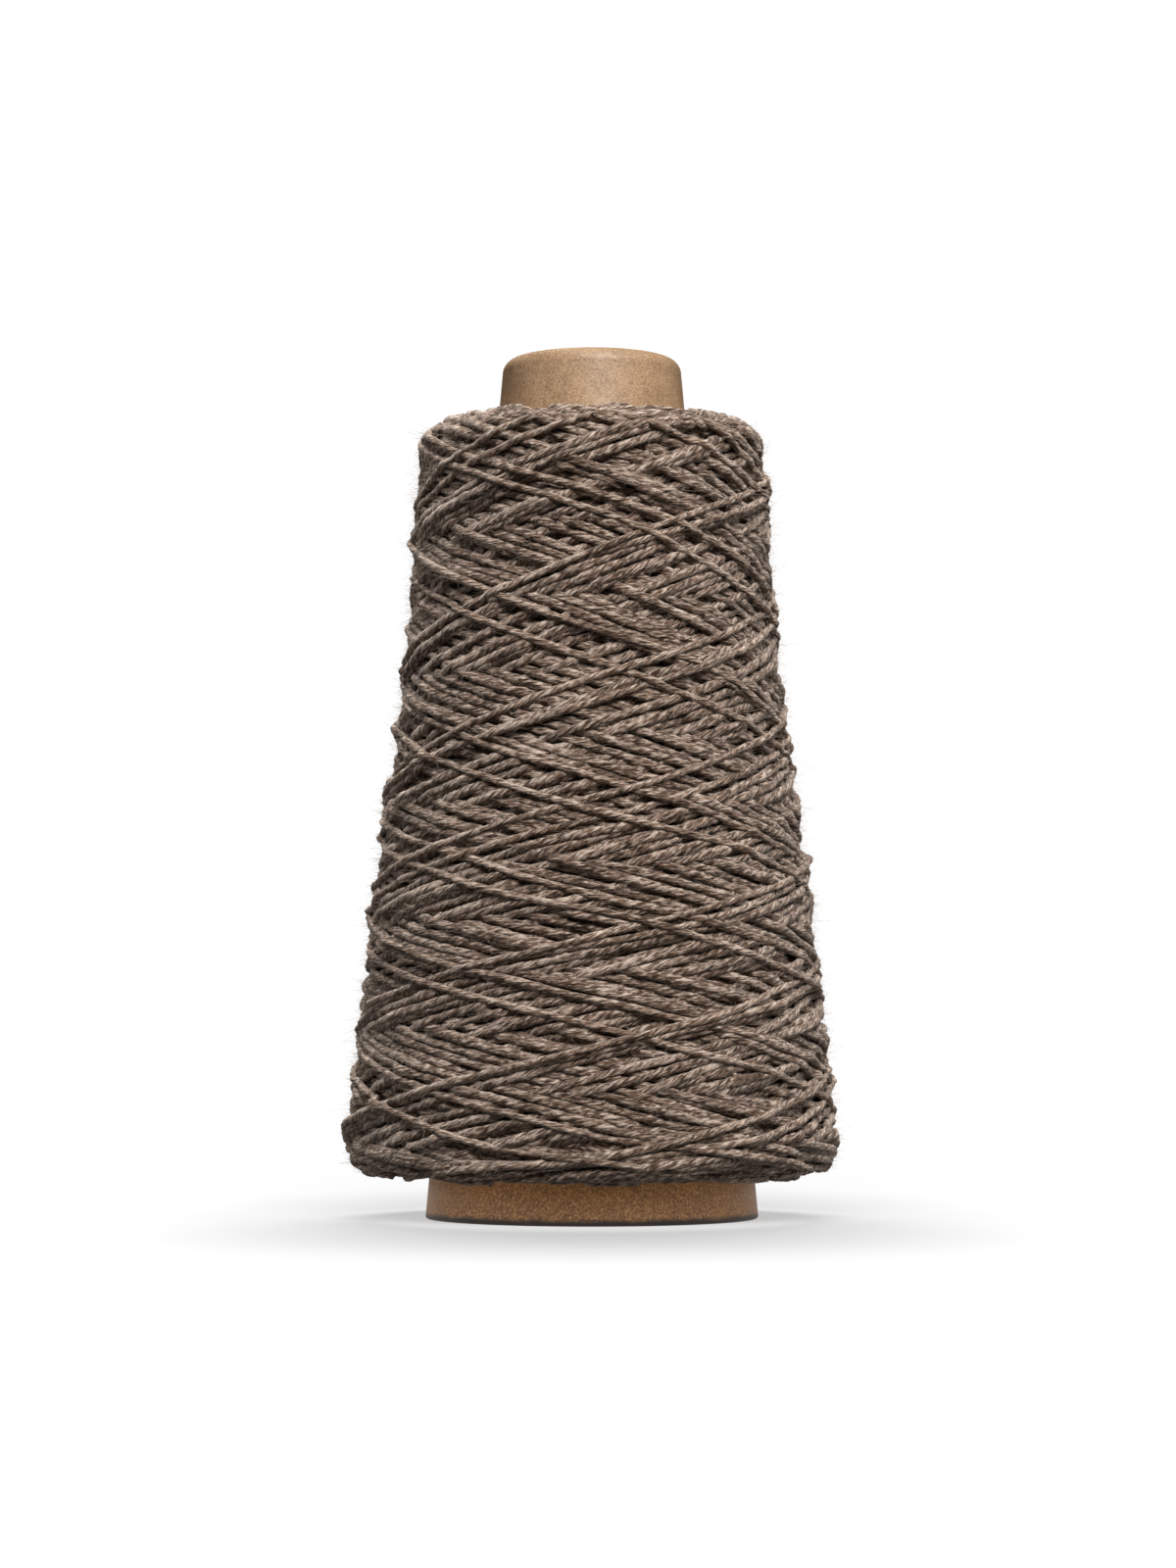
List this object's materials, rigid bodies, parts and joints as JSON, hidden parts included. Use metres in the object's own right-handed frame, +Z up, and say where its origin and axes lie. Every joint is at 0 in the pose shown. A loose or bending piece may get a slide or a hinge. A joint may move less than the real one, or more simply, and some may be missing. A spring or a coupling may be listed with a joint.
{
  "type": "yarn cone",
  "caption": "Cone of heathered wool yarn, cross-wound on a tapered cardboard tube with a rolled-in nose, standing on its base.",
  "frame": {"origin": "centre of the cardboard tube's base, on the table", "axes": "+Z up the cone's axis from base to nose; X and Y are level, -Y toward the viewer of the picture"},
  "size_m": [0.0976, 0.0973, 0.17],
  "materials": {
    "core": "raw kraft card, slightly polished on the rolled nose",
    "yarn": "matt heathered wool, taupe with lighter and darker fibres"
  },
  "bodies": {
    "root": {"core": "core", "yarn": "yarn"}
  },
  "joints": []
}
